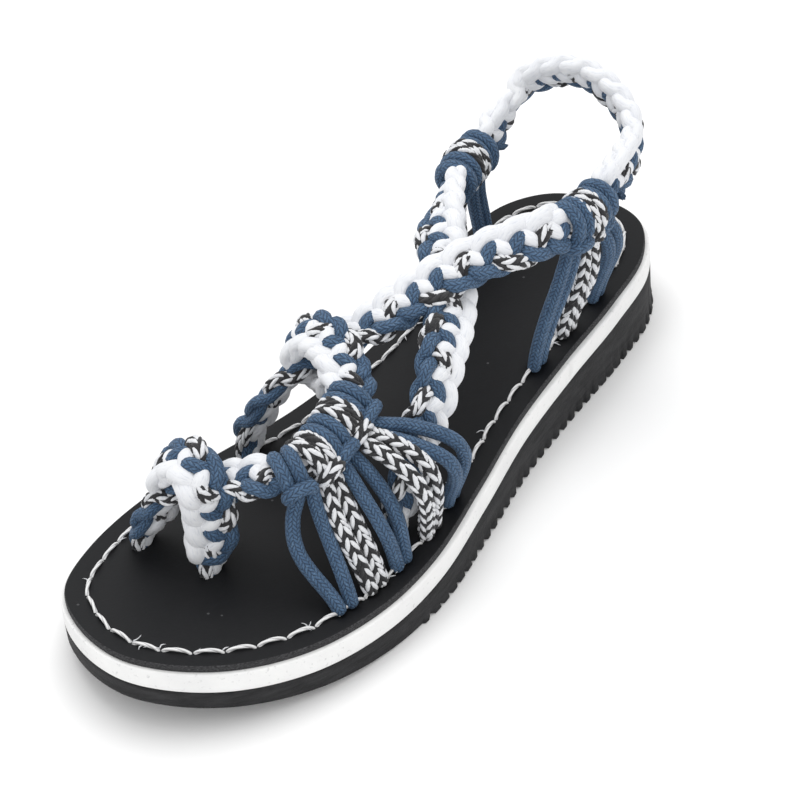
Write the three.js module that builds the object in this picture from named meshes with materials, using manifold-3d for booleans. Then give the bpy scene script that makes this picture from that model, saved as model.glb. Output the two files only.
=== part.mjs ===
// Woven rope sandal for the left foot: a flat three-layer sole and straps of plaited cord.
// Frame: +X the outer side of the foot, -Y the toe, +Y the heel, +Z up, millimetres.
// The origin is on the floor, under the middle of the sole.

import * as THREE from 'three';
import { mergeVertices } from 'three/addons/utils/BufferGeometryUtils.js';
import Module from 'manifold-3d';

const wasm = await Module();
wasm.setup();

// Sole, millimetres
const SOLE_LENGTH = 255;
const BALL_WIDTH = 95.5;
const OUTSOLE_TOE = 6.1;
const OUTSOLE_HEEL = 17.3;
const MIDSOLE_THICK = 7;
const INSOLE_THICK = 2.4;
const INSOLE_INSET = 1.5;
const TOE_SPRING = 9.7;
const SPRING_SHARE = 0.3;
const TREAD_PITCH = 5;
const TREAD_LAND = 3;
const TREAD_DEPTH = 1.2;

// Rope, millimetres
const INSTEP_HEIGHT = 60;
const PLAIT_CORD = 4.3;
const PLAIT_SWING = 3.2;
const PLAIT_WEAVE = 1.7;
const PLAIT_FILL_WIDTH = 10.5;
const PLAIT_FILL_THICK = 5.2;
const GATHERED_WIDTH = 8.4;
const GATHERED_THICK = 5.6;
const HITCH_WIDTH = 7.9;
const HITCH_THICK = 3.4;
const BLUE_CORD = 4.1;
const MIXED_CORD = 4.6;
const STRAP_FOOT = 7;
const SLOT_INSET = 8;
const SLOT_SPARE = 1;
const LEG_UPRIGHT = 0.45;
const FIT_GAP = 0.3;

// Fineness of the faceted surfaces
const OUTLINE_STEPS = 2;
const PROFILE_STEPS = 14;
const ROPE_SIDES = 10;
const CORD_SIDES = 6;
const LEG_FACET = 8;
const LOBE_STEPS = 2;
const SLOT_STEPS = 3;
const LENGTH_STEPS = 40;
const WELD = 1e-4;

const RUBBER = { color: 0x2b2c2f, roughness: 0.92, metalness: 0 };
const FOAM = { color: 0xe9e9e6, roughness: 0.75, metalness: 0 };
const LEATHER = { color: 0x1b1c1f, roughness: 0.5, metalness: 0 };
const PLAIT = { color: 0xe6e7ea, roughness: 0.9, metalness: 0 };
const BLUE = { color: 0x46698c, roughness: 0.85, metalness: 0 };
const MIXED = { color: 0x8c8c90, roughness: 0.9, metalness: 0 };

const HALF_BALL = BALL_WIDTH / 2;
const PAST_TOE = -0.05;
const PAST_HEEL = 1.05;
const INNER_SIDE = -1;
const OUTER_SIDE = 1;

// Sole outline. share: distance from the toe in sole lengths; outer and inner: half ball widths.
const OUTLINE = [
  { share: 0.015, outer: 0.21, inner: -0.45 },
  { share: 0.06, outer: 0.533, inner: -0.797 },
  { share: 0.14, outer: 0.814, inner: -0.971 },
  { share: 0.24, outer: 0.971, inner: -1.0 },
  { share: 0.34, outer: 1.0, inner: -0.86 },
  { share: 0.46, outer: 0.899, inner: -0.65 },
  { share: 0.58, outer: 0.778, inner: -0.556 },
  { share: 0.7, outer: 0.719, inner: -0.577 },
  { share: 0.82, outer: 0.68, inner: -0.671 },
  { share: 0.92, outer: 0.592, inner: -0.629 },
  { share: 0.98, outer: 0.376, inner: -0.38 },
];
const TOE_TIP = -0.079;
const HEEL_TIP = 0.079;

// Middle of the foot that the straps face away from. rise: instep heights over the footbed.
const FOOT_CORE = [
  { share: 0.08, side: -0.1, rise: 0.1 },
  { share: 0.3, side: 0, rise: 0.2 },
  { share: 0.55, side: 0, rise: 0.25 },
  { share: 0.72, side: 0, rise: 0.35 },
  { share: 0.8, side: 0, rise: 0.6 },
  { share: 0.82, side: 0, rise: 1.6 },
];

// Toe strap: from the inner side of the big toe along the forefoot, then once round the
// instep strap. turn: the rows that wrap another strap and face away from its middle.
const TOE_STRAP = [
  { share: 0.186, side: -0.684, rise: -0.02 },
  { share: 0.186, side: -0.684, rise: 0.05 },
  { share: 0.189, side: -0.613, rise: 0.152 },
  { share: 0.2, side: -0.533, rise: 0.288 },
  { share: 0.215, side: -0.373, rise: 0.382 },
  { share: 0.228, side: -0.173, rise: 0.449 },
  { share: 0.24, side: 0.021, rise: 0.5 },
  { share: 0.252, side: 0.21, rise: 0.541 },
  { share: 0.279, side: 0.288, rise: 0.564 },
  { share: 0.31, side: 0.288, rise: 0.574 },
  { share: 0.34, side: 0.277, rise: 0.583 },
  { share: 0.367, side: 0.25, rise: 0.593 },
  { share: 0.391, side: 0.22, rise: 0.612 },
  { share: 0.408, side: 0.113, rise: 0.651, turn: true },
  { share: 0.422, side: -0.002, rise: 0.701, turn: true },
  { share: 0.428, side: -0.124, rise: 0.736, turn: true },
  { share: 0.43, side: -0.25, rise: 0.719, turn: true },
  { share: 0.428, side: -0.342, rise: 0.646, turn: true },
  { share: 0.432, side: -0.367, rise: 0.548, turn: true },
  { share: 0.445, side: -0.308, rise: 0.465, turn: true },
  { share: 0.449, side: -0.183, rise: 0.434, turn: true },
  { share: 0.427, side: -0.044, rise: 0.48, turn: true },
  { share: 0.416, side: 0.052, rise: 0.563, turn: true },
];
const TOE_TURN_CENTRE = { share: 0.438, side: -0.17, rise: 0.59 };
const TOE_TURN_SHARE = 0.586;

// Toe post: up from between the toes and once round the toe strap.
const TOE_POST = [
  { share: 0.19, side: -0.151, rise: -0.02 },
  { share: 0.19, side: -0.151, rise: 0.05 },
  { share: 0.194, side: -0.133, rise: 0.187, turn: true },
  { share: 0.198, side: -0.141, rise: 0.354, turn: true },
  { share: 0.196, side: -0.145, rise: 0.52, turn: true },
  { share: 0.205, side: -0.252, rise: 0.597, turn: true },
  { share: 0.212, side: -0.418, rise: 0.556, turn: true },
  { share: 0.211, side: -0.533, rise: 0.448, turn: true },
  { share: 0.233, side: -0.534, rise: 0.35, turn: true },
  { share: 0.241, side: -0.398, rise: 0.29, turn: true },
  { share: 0.224, side: -0.23, rise: 0.29, turn: true },
  { share: 0.202, side: -0.147, rise: 0.31, turn: true },
];
const POST_TURN_CENTRE = { share: 0.222, side: -0.3, rise: 0.38 };

// Instep strap: inner ball, over the instep, outer ankle, round the heel, inner ankle,
// under its own start and down to the outer ball. tilt: how far a row's face leans upwards.
const INSTEP_STRAP = [
  { share: 0.373, side: -0.61, rise: -0.02 },
  { share: 0.373, side: -0.61, rise: 0.05 },
  { share: 0.381, side: -0.574, rise: 0.206 },
  { share: 0.391, side: -0.465, rise: 0.362 },
  { share: 0.414, side: -0.366, rise: 0.472 },
  { share: 0.438, side: -0.239, rise: 0.566 },
  { share: 0.467, side: -0.106, rise: 0.624 },
  { share: 0.497, side: 0.034, rise: 0.674 },
  { share: 0.551, side: 0.188, rise: 0.743 },
  { share: 0.606, side: 0.335, rise: 0.786 },
  { share: 0.654, side: 0.51, rise: 0.807 },
  { share: 0.702, side: 0.629, rise: 0.787 },
  { share: 0.74, side: 0.649, rise: 0.745 },
  { share: 0.775, side: 0.66, rise: 0.73 },
  { share: 0.807, side: 0.649, rise: 0.736 },
  { share: 0.845, side: 0.639, rise: 0.756 },
  { share: 0.891, side: 0.586, rise: 0.758 },
  { share: 0.923, side: 0.482, rise: 0.805, tilt: 0.15 },
  { share: 0.947, side: 0.263, rise: 0.885, tilt: 0.35 },
  { share: 0.955, side: 0.017, rise: 0.931, tilt: 0.6 },
  { share: 0.955, side: -0.251, rise: 0.878, tilt: 0.9 },
  { share: 0.943, side: -0.464, rise: 0.759, tilt: 1.1 },
  { share: 0.907, side: -0.49, rise: 0.672, tilt: 0.7 },
  { share: 0.879, side: -0.5, rise: 0.615, tilt: 0.3 },
  { share: 0.848, side: -0.49, rise: 0.588 },
  { share: 0.812, side: -0.47, rise: 0.593 },
  { share: 0.772, side: -0.42, rise: 0.592 },
  { share: 0.709, side: -0.26, rise: 0.66 },
  { share: 0.654, side: -0.085, rise: 0.698 },
  { share: 0.614, side: 0.104, rise: 0.684 },
  { share: 0.587, side: 0.237, rise: 0.657 },
  { share: 0.547, side: 0.377, rise: 0.635 },
  { share: 0.496, side: 0.498, rise: 0.599 },
  { share: 0.454, side: 0.58, rise: 0.495 },
  { share: 0.412, side: 0.62, rise: 0.375 },
  { share: 0.362, side: 0.67, rise: 0.22 },
  { share: 0.338, side: 0.68, rise: 0.083 },
  { share: 0.338, side: 0.68, rise: -0.02 },
];
const HEEL_MIDDLE_SHARE = 0.5;

// Lobes of each strap's plait. at: share of the strap's length; lobe: how many strands have
// come to the coloured edge by there, each third one being the mixed cord's.
const PLAIT_STRANDS = 3;
const TOE_LOBES = [
  { at: 0, lobe: -3 },
  { at: 0.146, lobe: 0 },
  { at: 0.303, lobe: 3 },
  { at: 0.606, lobe: 10 },
  { at: 0.689, lobe: 12 },
  { at: 0.748, lobe: 14 },
  { at: 1, lobe: 20 },
];
const POST_LOBES = [
  { at: 0, lobe: -3 },
  { at: 1, lobe: 8.7 },
];
const INSTEP_LOBES = [
  { at: 0, lobe: -0.84 },
  { at: 0.0174, lobe: 0 },
  { at: 0.0807, lobe: 3 },
  { at: 0.1473, lobe: 6 },
  { at: 0.203, lobe: 9 },
  { at: 0.2663, lobe: 12 },
  { at: 0.3057, lobe: 14 },
  { at: 0.3971, lobe: 20 },
  { at: 0.4338, lobe: 22 },
  { at: 0.5706, lobe: 30 },
  { at: 0.752, lobe: 39 },
  { at: 0.7678, lobe: 40 },
  { at: 0.8641, lobe: 46 },
  { at: 0.9074, lobe: 48 },
  { at: 1, lobe: 52.9 },
];

// Groups of looped ropes hitched side by side round a strap. start: share of the strap's
// length at the first hitch; edge: the side of the sole where the ropes are let in.
// For each rope, foot: middle of its slot in sole lengths; share, side and rise: the middle
// of its two legs; bow: how far the legs stand apart there, in cord thicknesses.
const HITCH_GROUPS = {
  forefoot: {
    strap: 'toe',
    start: 0.372,
    edge: OUTER_SIDE,
    ropes: [
      { cord: 'blue', foot: 0.218, share: 0.228, side: 0.55, rise: 0.222, bow: 2.2 },
      { cord: 'mixed', foot: 0.264, share: 0.27, side: 0.65, rise: 0.26, bow: 1.2 },
      { cord: 'blue', foot: 0.309, share: 0.311, side: 0.755, rise: 0.255, bow: 1.7 },
      { cord: 'mixed', foot: 0.37, share: 0.362, side: 0.87, rise: 0.34, bow: 1.52 },
      { cord: 'blue', foot: 0.424, share: 0.416, side: 0.9, rise: 0.33, bow: 1.6 },
    ],
  },
  outer_ankle: {
    strap: 'instep',
    start: 0.318,
    edge: OUTER_SIDE,
    ropes: [
      { cord: 'blue', foot: 0.668, share: 0.695, side: 0.625, rise: 0.315, bow: 1.05 },
      { cord: 'mixed', foot: 0.738, share: 0.755, side: 0.635, rise: 0.27, bow: 1.04 },
      { cord: 'blue', foot: 0.815, share: 0.808, side: 0.69, rise: 0.345, bow: 1.2 },
    ],
  },
  inner_ankle: {
    strap: 'instep',
    start: 0.623,
    edge: INNER_SIDE,
    ropes: [
      { cord: 'blue', foot: 0.85, share: 0.85, side: -0.55, rise: 0.26, bow: 1.05 },
      { cord: 'mixed', foot: 0.79, share: 0.8, side: -0.54, rise: 0.26, bow: 1.04 },
      { cord: 'blue', foot: 0.725, share: 0.745, side: -0.52, rise: 0.26, bow: 1.05 },
    ],
  },
};

const CORDS = {
  blue: { thick: BLUE_CORD, finish: BLUE },
  mixed: { thick: MIXED_CORD, finish: MIXED },
};

// Solids

function toSolid(geometry) {
  geometry.deleteAttribute('normal');
  geometry.deleteAttribute('uv');
  const merged = mergeVertices(geometry, WELD);
  return new wasm.Manifold(new wasm.Mesh({
    numProp: 3,
    vertProperties: new Float32Array(merged.attributes.position.array),
    triVerts: new Uint32Array(merged.index.array),
  }));
}

function toMesh(solid, name, finish) {
  const mesh = solid.getMesh();
  const geometry = new THREE.BufferGeometry();
  geometry.setAttribute('position', new THREE.BufferAttribute(mesh.vertProperties, 3));
  geometry.setIndex(new THREE.BufferAttribute(mesh.triVerts, 1));
  const body = new THREE.Mesh(geometry, new THREE.MeshStandardMaterial(finish));
  body.name = name;
  return body;
}

// Sole surfaces

function smooth(share) {
  const t = Math.min(1, Math.max(0, share));
  return t * t * (3 - 2 * t);
}

function springHeight(share) {
  return TOE_SPRING * (Math.max(0, SPRING_SHARE - share) / SPRING_SHARE) ** 2;
}

function outsoleTop(share) {
  return springHeight(share) + THREE.MathUtils.lerp(OUTSOLE_TOE, OUTSOLE_HEEL, smooth(share));
}

function midsoleTop(share) {
  return outsoleTop(share) + MIDSOLE_THICK;
}

function footbedTop(share) {
  return midsoleTop(share) + INSOLE_THICK;
}

function alongSole(share) {
  return (share - 0.5) * SOLE_LENGTH;
}

function shareOf(y) {
  return y / SOLE_LENGTH + 0.5;
}

function placed(row) {
  const height = footbedTop(row.share) + row.rise * INSTEP_HEIGHT;
  return new THREE.Vector3(row.side * HALF_BALL, alongSole(row.share), height);
}

function outlinePoints() {
  const corner = (share, side) => new THREE.Vector3(side * HALF_BALL, alongSole(share), 0);
  const points = [corner(0, TOE_TIP)];
  for (const row of OUTLINE) points.push(corner(row.share, row.outer));
  points.push(corner(1, HEEL_TIP));
  for (const row of [...OUTLINE].reverse()) points.push(corner(row.share, row.inner));
  const curve = new THREE.CatmullRomCurve3(points, true, 'centripetal');
  return curve.getPoints(OUTLINE_STEPS * points.length).slice(0, -1);
}

function insetOutline(inset) {
  const ring = outlinePoints();
  return ring.map((point, index) => {
    const before = ring[(index + ring.length - 1) % ring.length];
    const after = ring[(index + 1) % ring.length];
    const along = after.clone().sub(before).normalize();
    return new THREE.Vector2(point.x - along.y * inset, point.y + along.x * inset);
  });
}

// Where the outline, drawn in by an inset, crosses one share of the length on one side.
function edgePoint(share, side, inset) {
  const ring = insetOutline(inset);
  const y = alongSole(share);
  let best = 0;
  ring.forEach((a, index) => {
    const b = ring[(index + 1) % ring.length];
    if ((a.y - y) * (b.y - y) > 0 || a.y === b.y) return;
    const x = a.x + (b.x - a.x) * (y - a.y) / (b.y - a.y);
    if (x * side > best * side) best = x;
  });
  return new THREE.Vector2(best, y);
}

// A layer of the sole: its side view drawn across the width, cut to the outline.
function soleLayer(sideView, inset) {
  const across = new THREE.ExtrudeGeometry(new THREE.Shape(sideView), {
    depth: 2 * BALL_WIDTH, steps: 1, bevelEnabled: false,
  });
  across.applyMatrix4(new THREE.Matrix4().makeBasis(
    new THREE.Vector3(0, 1, 0), new THREE.Vector3(0, 0, 1), new THREE.Vector3(1, 0, 0)));
  across.translate(-BALL_WIDTH, 0, 0);
  const tall = new THREE.ExtrudeGeometry(new THREE.Shape(insetOutline(inset)), {
    depth: SOLE_LENGTH, steps: 1, bevelEnabled: false,
  });
  tall.translate(0, 0, -SOLE_LENGTH / 2);
  return toSolid(across).intersect(toSolid(tall));
}

// Points of a curve of the side view, from one share of the length to another.
function sideCurve(height, from, to) {
  const count = Math.ceil(Math.abs(to - from) * PROFILE_STEPS);
  const points = [];
  for (let step = 0; step <= count; step += 1) {
    const share = THREE.MathUtils.lerp(from, to, step / count);
    points.push(new THREE.Vector2(alongSole(share), height(share)));
  }
  return points;
}

// Underside of the outsole: smooth under the sprung toe, then cross ribs with flat lands.
function treadLine() {
  const points = sideCurve(springHeight, PAST_TOE, SPRING_SHARE);
  const start = alongSole(SPRING_SHARE);
  const count = Math.floor((alongSole(PAST_HEEL) - start) / TREAD_PITCH);
  for (let rib = 0; rib < count; rib += 1) {
    const front = start + rib * TREAD_PITCH;
    points.push(new THREE.Vector2(front + TREAD_LAND, 0));
    points.push(new THREE.Vector2(front + TREAD_LAND, TREAD_DEPTH));
    points.push(new THREE.Vector2(front + TREAD_PITCH, 0));
  }
  return points;
}

function makeOutsole() {
  const sideView = [...treadLine(), ...sideCurve(outsoleTop, PAST_HEEL, PAST_TOE)];
  return soleLayer(sideView, 0);
}

function makeMidsole() {
  const low = (share) => outsoleTop(share) + FIT_GAP;
  const sideView = sideCurve(low, PAST_TOE, PAST_HEEL);
  sideView.push(...sideCurve(midsoleTop, PAST_HEEL, PAST_TOE));
  return soleLayer(sideView, 0);
}

// A slot through the insole with round ends, for ropes of one radius at two points.
function slotCutter(a, b, radius) {
  const grown = (radius + FIT_GAP) / Math.cos(Math.PI / (2 * SLOT_STEPS));
  const angle = Math.atan2(b.y - a.y, b.x - a.x);
  const shape = new THREE.Shape();
  shape.absarc(b.x, b.y, grown, angle - Math.PI / 2, angle + Math.PI / 2, false);
  shape.absarc(a.x, a.y, grown, angle + Math.PI / 2, angle + 3 * Math.PI / 2, false);
  const cutter = new THREE.ExtrudeGeometry(shape, {
    depth: SOLE_LENGTH, steps: 1, bevelEnabled: false, curveSegments: SLOT_STEPS,
  });
  return toSolid(cutter);
}

function makeInsole(slots) {
  const low = (share) => midsoleTop(share) + FIT_GAP;
  const sideView = sideCurve(low, PAST_TOE, PAST_HEEL);
  sideView.push(...sideCurve(footbedTop, PAST_HEEL, PAST_TOE));
  let insole = soleLayer(sideView, INSOLE_INSET);
  for (const slot of slots) insole = insole.subtract(slot);
  return insole;
}

// Straps

function nearestOnCore(point) {
  const core = FOOT_CORE.map(placed);
  const nearest = new THREE.Vector3();
  let distance = Infinity;
  for (let index = 1; index < core.length; index += 1) {
    const spot = new THREE.Vector3();
    new THREE.Line3(core[index - 1], core[index]).closestPointToPoint(point, true, spot);
    if (spot.distanceTo(point) < distance) {
      distance = spot.distanceTo(point);
      nearest.copy(spot);
    }
  }
  return nearest;
}

// A strap's middle line with the way that it faces. turnCentre: what its turn rows go round.
function makeStrap(rows, lobes, turnCentre) {
  const points = rows.map(placed);
  const facing = points.map((point, index) => {
    const centre = rows[index].turn ? placed(turnCentre) : nearestOnCore(point);
    const away = point.clone().sub(centre).normalize();
    away.z += rows[index].tilt ?? 0;
    return away.normalize();
  });
  const curve = new THREE.CatmullRomCurve3(points, false, 'centripetal');
  curve.arcLengthDivisions = LENGTH_STEPS * points.length;
  return { curve, facing, lobes, length: curve.getLength(), gathered: [] };
}

function frameAt(strap, distance) {
  const along = Math.min(1, Math.max(0, distance / strap.length));
  const t = strap.curve.getUtoTmapping(along);
  const place = t * (strap.facing.length - 1);
  const index = Math.min(strap.facing.length - 2, Math.floor(place));
  const tangent = strap.curve.getTangent(t);
  const normal = strap.facing[index].clone().lerp(strap.facing[index + 1], place - index);
  normal.addScaledVector(tangent, -normal.dot(tangent)).normalize();
  const across = tangent.clone().cross(normal);
  return { centre: strap.curve.getPoint(t), tangent, normal, across };
}

// A point of a frame, by its distances across and out of the strap.
function offFrame(frame, across, out) {
  return frame.centre.clone().addScaledVector(frame.across, across).addScaledVector(frame.normal, out);
}

// How far an oval reaches at an angle.
function ovalReach(width, thick, angle) {
  const a = width / 2;
  const b = thick / 2;
  return (a * b) / Math.hypot(b * Math.cos(angle), a * Math.sin(angle));
}

function gatheredReach(angle, extra) {
  return ovalReach(GATHERED_WIDTH + 2 * extra, GATHERED_THICK + 2 * extra, angle);
}

// One column of a table where another column has a value, on straight lines between rows.
function readTable(table, from, value, to) {
  let index = 1;
  while (index < table.length - 1 && table[index][from] < value) index += 1;
  const a = table[index - 1];
  const b = table[index];
  return a[to] + (b[to] - a[to]) * (value - a[from]) / (b[from] - a[from]);
}

function lobeAt(strap, distance) {
  return readTable(strap.lobes, 'at', distance / strap.length, 'lobe');
}

function distanceOfLobe(strap, lobe) {
  return readTable(strap.lobes, 'lobe', lobe, 'at') * strap.length;
}

// How far the plait reaches at an angle: three pairs of cords swing across and weave.
function plaitReach(strap, distance, angle) {
  let reach = ovalReach(PLAIT_FILL_WIDTH, PLAIT_FILL_THICK, angle);
  const turn = 2 * Math.PI / PLAIT_STRANDS;
  const lobe = lobeAt(strap, distance);
  const pace = lobeAt(strap, distance + FIT_GAP) - lobeAt(strap, distance - FIT_GAP);
  for (let strand = 0; strand < PLAIT_STRANDS; strand += 1) {
    const phase = turn * (lobe - strand);
    const slope = Math.atan(PLAIT_SWING * turn * pace / (2 * FIT_GAP) * Math.sin(phase));
    for (const pair of [-0.5, 0.5]) {
      const across = -PLAIT_SWING * Math.cos(phase) + pair * PLAIT_CORD * Math.cos(slope);
      const out = -PLAIT_WEAVE * Math.sin(2 * phase);
      const forward = across * Math.cos(angle) + out * Math.sin(angle);
      const inside = (PLAIT_CORD / 2) ** 2 - across ** 2 - out ** 2 + forward ** 2;
      if (inside > 0) reach = Math.max(reach, forward + Math.sqrt(inside));
    }
  }
  return reach;
}

// Closed skin over rings of points that all run the same way round.
function skin(rings) {
  const count = rings[0].length;
  const middle = (ring) => {
    const sum = ring.reduce((total, point) => total.add(point), new THREE.Vector3());
    return sum.divideScalar(count);
  };
  const positions = [];
  const face = (a, b, c) => positions.push(...a.toArray(), ...b.toArray(), ...c.toArray());
  const first = middle(rings[0]);
  const last = middle(rings[rings.length - 1]);
  for (let side = 0; side < count; side += 1) {
    const next = (side + 1) % count;
    face(first, rings[0][next], rings[0][side]);
    face(last, rings[rings.length - 1][side], rings[rings.length - 1][next]);
    for (let ring = 1; ring < rings.length; ring += 1) {
      const low = rings[ring - 1];
      const high = rings[ring];
      face(low[side], low[next], high[next]);
      face(low[side], high[next], high[side]);
    }
  }
  const geometry = new THREE.BufferGeometry();
  geometry.setAttribute('position', new THREE.Float32BufferAttribute(positions, 3));
  return toSolid(geometry);
}

// The plait's section at one distance: gathered at its sole ends and under the hitches.
function strapSection(strap, distance) {
  const frame = frameAt(strap, distance);
  const gathered = strap.gathered.some(
    ([from, to]) => distance > from - FIT_GAP && distance < to + FIT_GAP);
  const ring = [];
  for (let side = 0; side < ROPE_SIDES; side += 1) {
    const angle = 2 * Math.PI * side / ROPE_SIDES;
    const reach = gathered ? gatheredReach(angle, 0) : plaitReach(strap, distance, angle);
    ring.push(offFrame(frame, -reach * Math.cos(angle), reach * Math.sin(angle)));
  }
  return ring;
}

// Distances at which a strap's sections stand: in step with the plait, so that each one
// meets a strand at one edge, and at every hitch's edges and middle.
function stations(strap, from, to) {
  const marks = [from, to];
  for (const [start, end] of strap.gathered) {
    for (const mark of [start, (start + end) / 2, end]) {
      if (mark > from && mark < to) marks.push(mark);
    }
  }
  const near = PLAIT_CORD / 3;
  const inHitch = (distance) => strap.gathered.some(
    ([start, end]) => distance > start && distance < end);
  const result = [...marks];
  const first = Math.ceil(lobeAt(strap, from) * LOBE_STEPS);
  const last = Math.floor(lobeAt(strap, to) * LOBE_STEPS);
  for (let step = first; step <= last; step += 1) {
    const distance = distanceOfLobe(strap, step / LOBE_STEPS);
    const close = marks.some((mark) => Math.abs(mark - distance) < near);
    if (!close && !inHitch(distance)) result.push(distance);
  }
  result.sort((a, b) => a - b);
  return result.filter((distance, index) => index === 0 || distance - result[index - 1] > FIT_GAP / 2);
}

function strapSolid(strap, from, to) {
  return skin(stations(strap, from, to).map((distance) => strapSection(strap, distance)));
}

// Looped ropes

// The two turns of a hitch lie round the gathered strap as one band with a groove.
const HITCH_PROFILE = [
  { along: -0.5, lift: 0 },
  { along: 0, lift: 0 },
  { along: 0.5, lift: 0 },
  { along: 0.5, lift: 0.55 },
  { along: 0.25, lift: 1 },
  { along: 0, lift: 0.45 },
  { along: -0.25, lift: 1 },
  { along: -0.5, lift: 0.55 },
];

function hitchBand(strap, middle) {
  const positions = [];
  const spots = [];
  for (let side = 0; side < ROPE_SIDES; side += 1) {
    const angle = 2 * Math.PI * side / ROPE_SIDES;
    spots.push(HITCH_PROFILE.map((row) => {
      const frame = frameAt(strap, middle + row.along * HITCH_WIDTH);
      const reach = gatheredReach(angle, FIT_GAP) + row.lift * HITCH_THICK;
      return offFrame(frame, -reach * Math.cos(angle), reach * Math.sin(angle));
    }));
  }
  const face = (a, b, c) => positions.push(...a.toArray(), ...b.toArray(), ...c.toArray());
  for (let side = 0; side < ROPE_SIDES; side += 1) {
    const here = spots[side];
    const there = spots[(side + 1) % ROPE_SIDES];
    for (let row = 0; row < HITCH_PROFILE.length; row += 1) {
      const next = (row + 1) % HITCH_PROFILE.length;
      face(here[row], here[next], there[next]);
      face(here[row], there[next], there[row]);
    }
  }
  const geometry = new THREE.BufferGeometry();
  geometry.setAttribute('position', new THREE.Float32BufferAttribute(positions, 3));
  return toSolid(geometry);
}

// A round cord along a curve, as an extruded section.
function cordSolid(curve, thick, steps) {
  const section = new THREE.Shape();
  for (let side = 0; side < CORD_SIDES; side += 1) {
    const angle = 2 * Math.PI * side / CORD_SIDES;
    const spot = new THREE.Vector2(thick / 2 * Math.cos(angle), thick / 2 * Math.sin(angle));
    if (side === 0) section.moveTo(spot.x, spot.y);
    else section.lineTo(spot.x, spot.y);
  }
  section.closePath();
  const cord = new THREE.ExtrudeGeometry(section, { steps, bevelEnabled: false, extrudePath: curve });
  return toSolid(cord);
}

// The two places where a rope's ends go down into the insole.
function slotEnds(row, edge) {
  const half = (CORDS[row.cord].thick + SLOT_SPARE) / 2 / SOLE_LENGTH;
  return [row.foot - half, row.foot + half].map((share) => edgePoint(share, edge, SLOT_INSET));
}

// A leg leaves its hitch, passes its middle point and comes upright into its slot. A cubic
// curve's middle is at (from + 3 * pull + 3 * upright + to) / 8.
function legCurve(from, middle, to) {
  const upright = to.clone();
  upright.z += (from.z - to.z) * LEG_UPRIGHT;
  const pull = middle.clone().multiplyScalar(8).sub(from).sub(to).divideScalar(3).sub(upright);
  return new THREE.CubicBezierCurve3(from, pull, upright, to);
}

function makeRope(row, strap, middle, edge) {
  const thick = CORDS[row.cord].thick;
  const low = GATHERED_WIDTH / 2 + FIT_GAP + HITCH_THICK / 2;
  const apart = (HITCH_WIDTH - thick) / 2;
  const crest = HITCH_WIDTH / 4;
  const start = frameAt(strap, middle);
  const forwards = Math.sign(start.tangent.y);
  let rope = hitchBand(strap, middle);
  slotEnds(row, edge).forEach((end, index) => {
    const side = (index === 0 ? -1 : 1) * forwards;
    const from = offFrame(frameAt(strap, middle + side * apart), low, 0);
    const along = placed(row).addScaledVector(start.tangent, side * row.bow * thick / 2);
    const to = new THREE.Vector3(end.x, end.y, footbedTop(shareOf(end.y)) - INSOLE_THICK / 2);
    const leg = legCurve(from, along, to);
    rope = rope.add(cordSolid(leg, thick, Math.ceil(leg.getLength() / LEG_FACET)));
  });
  const bar = [-crest, crest].map((place) => {
    const frame = frameAt(strap, middle + place);
    return offFrame(frame, low + HITCH_THICK / 2, thick / 4);
  });
  return rope.add(cordSolid(new THREE.LineCurve3(...bar), thick, 1));
}

// Assembly

const straps = {
  toe: makeStrap(TOE_STRAP, TOE_LOBES, TOE_TURN_CENTRE),
  post: makeStrap(TOE_POST, POST_LOBES, POST_TURN_CENTRE),
  instep: makeStrap(INSTEP_STRAP, INSTEP_LOBES),
};

for (const strap of Object.values(straps)) strap.gathered.push([0, STRAP_FOOT]);
straps.instep.gathered.push([straps.instep.length - STRAP_FOOT, straps.instep.length]);

const hitches = [];
for (const [groupName, group] of Object.entries(HITCH_GROUPS)) {
  const strap = straps[group.strap];
  const pitch = HITCH_WIDTH + FIT_GAP;
  group.ropes.forEach((row, index) => {
    const middle = group.start * strap.length + index * pitch;
    hitches.push({ row, strap, middle, edge: group.edge, name: `${groupName}_rope_${index + 1}` });
    strap.gathered.push([middle - HITCH_WIDTH / 2, middle + HITCH_WIDTH / 2]);
  });
}

// Each strap is made as two lengths that share a short stretch.
const heelMiddle = straps.instep.length * HEEL_MIDDLE_SHARE;
const turnStart = straps.toe.length * TOE_TURN_SHARE;
const postTop = straps.post.length / 2;
const upper = [
  strapSolid(straps.toe, 0, turnStart + PLAIT_CORD),
  strapSolid(straps.toe, turnStart, straps.toe.length),
  strapSolid(straps.post, 0, postTop),
  strapSolid(straps.post, postTop - PLAIT_CORD, straps.post.length),
  strapSolid(straps.instep, 0, heelMiddle),
  strapSolid(straps.instep, heelMiddle - PLAIT_CORD, straps.instep.length),
].reduce((whole, piece) => whole.add(piece));

const flat = (point) => new THREE.Vector2(point.x, point.y);
const strapFeet = [
  straps.toe.curve.getPoint(0),
  straps.post.curve.getPoint(0),
  straps.instep.curve.getPoint(0),
  straps.instep.curve.getPoint(1),
].map(flat);
const slots = strapFeet.map((foot) => slotCutter(foot, foot, GATHERED_WIDTH / 2));
for (const hitch of hitches) {
  const [a, b] = slotEnds(hitch.row, hitch.edge);
  slots.push(slotCutter(a, b, CORDS[hitch.row.cord].thick / 2));
}

const sandal = new THREE.Group();
sandal.name = 'sandal';
sandal.add(toMesh(makeOutsole(), 'outsole', RUBBER));
sandal.add(toMesh(makeMidsole(), 'midsole', FOAM));
sandal.add(toMesh(makeInsole(slots), 'insole', LEATHER));
sandal.add(toMesh(upper, 'upper', PLAIT));
for (const hitch of hitches) {
  const rope = makeRope(hitch.row, hitch.strap, hitch.middle, hitch.edge);
  sandal.add(toMesh(rope, hitch.name, CORDS[hitch.row.cord].finish));
}

export default sandal;
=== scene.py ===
"""Dresses the rope sandal: plaited and looped cords, stitched leather, white foam and ribbed rubber."""

import math
import random

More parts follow.
